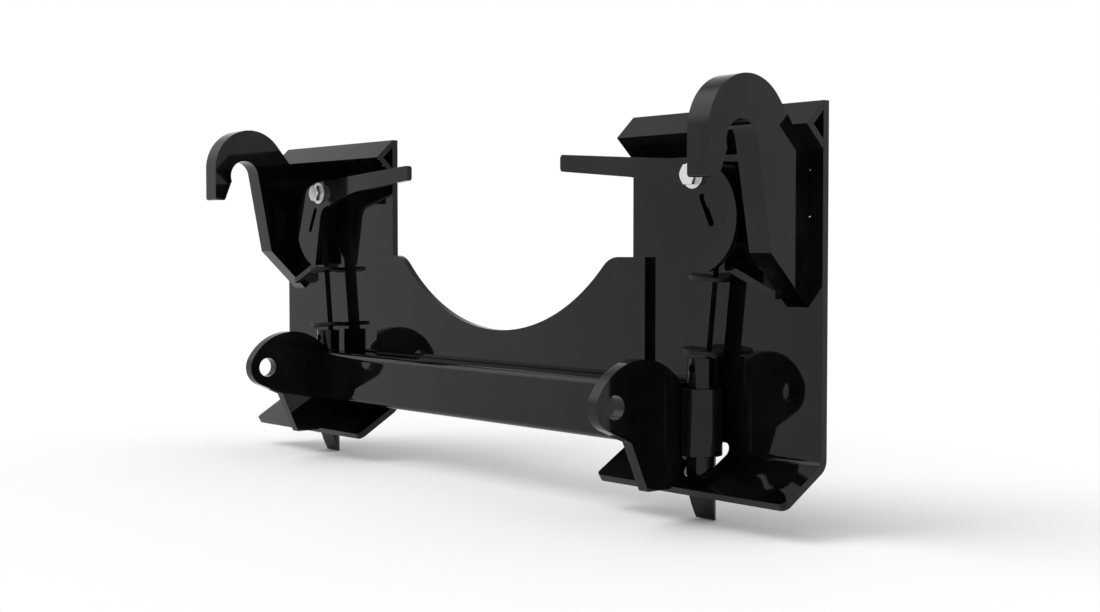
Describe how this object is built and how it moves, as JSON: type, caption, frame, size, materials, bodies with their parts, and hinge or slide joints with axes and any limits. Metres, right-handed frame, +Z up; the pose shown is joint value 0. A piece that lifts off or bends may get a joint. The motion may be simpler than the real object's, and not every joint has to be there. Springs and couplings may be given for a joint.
{
  "type": "skid steer quick attach plate",
  "caption": "Steel plate that joins a loader to skid steer attachments, with hooks and pinned ears for the loader and lever-driven wedge pins that lock the attachment.",
  "frame": {"origin": "on the axis of the loader pin holes in the two ears, midway between the left and right sides", "axes": "+X across the plate along the pin axis, +Y from the loader towards the attachment, +Z up"},
  "size_m": [1.147, 0.1915, 0.514],
  "materials": {
    "black_paint": "glossy black paint",
    "zinc_steel": "bright zinc plating",
    "bronze": "plain bearing bronze"
  },
  "bodies": {
    "frame": {"left_side_plate": "black_paint", "right_side_plate": "black_paint", "centre_plate": "black_paint", "cross_tube": "black_paint", "left_top_wedge": "black_paint", "right_top_wedge": "black_paint", "left_hook": "black_paint", "right_hook": "black_paint", "left_ear": "black_paint", "right_ear": "black_paint", "left_guide_tube": "black_paint", "right_guide_tube": "black_paint", "left_latch_bracket": "black_paint", "right_latch_bracket": "black_paint", "left_pivot_boss": "black_paint", "right_pivot_boss": "black_paint", "left_pivot_bolt": "zinc_steel", "right_pivot_bolt": "zinc_steel", "left_pivot_washer": "zinc_steel", "right_pivot_washer": "zinc_steel"},
    "left_lever": {"left_lever": "black_paint", "left_lever_bushing": "bronze"},
    "left_link": {"left_link": "black_paint", "left_link_stud": "zinc_steel", "left_lower_collar": "black_paint"},
    "left_upper_collar": {"left_upper_collar": "black_paint"},
    "left_lock_pin": {"left_lock_pin": "black_paint", "left_cross_pin": "zinc_steel"},
    "right_lever": {"right_lever": "black_paint", "right_lever_bushing": "bronze"},
    "right_link": {"right_link": "black_paint", "right_link_stud": "zinc_steel", "right_lower_collar": "black_paint"},
    "right_upper_collar": {"right_upper_collar": "black_paint"},
    "right_lock_pin": {"right_lock_pin": "black_paint", "right_cross_pin": "zinc_steel"}
  },
  "joints": [
    {"name": "left_lever_hinge", "type": "hinge", "parent": "frame", "child": "left_lever", "pos_m": [-0.412, 0.117, 0.2695], "axis": [0, -1, 0], "range_deg": [0, 112]},
    {"name": "left_lock_slide", "type": "slide", "parent": "frame", "child": "left_lock_pin", "axis": [0, 0, 1], "range_m": [0, 0.0455]},
    {"name": "left_link_hinge", "type": "hinge", "parent": "left_lock_pin", "child": "left_link", "pos_m": [-0.412, 0.1276, 0.04], "axis": [0, 1, 0], "range_deg": [0, 21.6]},
    {"name": "left_collar_slide", "type": "slide", "parent": "left_link", "child": "left_upper_collar", "axis": [0.1136, 0, -0.9935], "range_m": [0, 0.0392]},
    {"name": "right_lever_hinge", "type": "hinge", "parent": "frame", "child": "right_lever", "pos_m": [0.412, 0.117, 0.2695], "axis": [0, 1, 0], "range_deg": [0, 112]},
    {"name": "right_lock_slide", "type": "slide", "parent": "frame", "child": "right_lock_pin", "axis": [0, 0, 1], "range_m": [0, 0.0455]},
    {"name": "right_link_hinge", "type": "hinge", "parent": "right_lock_pin", "child": "right_link", "pos_m": [0.412, 0.1276, 0.04], "axis": [0, -1, 0], "range_deg": [0, 21.6]},
    {"name": "right_collar_slide", "type": "slide", "parent": "right_link", "child": "right_upper_collar", "axis": [-0.1136, 0, -0.9935], "range_m": [0, 0.0392]}
  ],
  "couplings": [
    {"joint": "left_collar_slide", "follows": "left_lever_hinge", "m_per_rad": 0.02},
    {"joint": "left_lock_slide", "follows": "left_lever_hinge", "m_per_rad": 0.023205},
    {"joint": "left_link_hinge", "follows": "left_lever_hinge", "ratio": 0.19204},
    {"joint": "right_collar_slide", "follows": "right_lever_hinge", "m_per_rad": 0.02},
    {"joint": "right_lock_slide", "follows": "right_lever_hinge", "m_per_rad": 0.023205},
    {"joint": "right_link_hinge", "follows": "right_lever_hinge", "ratio": 0.19204}
  ]
}
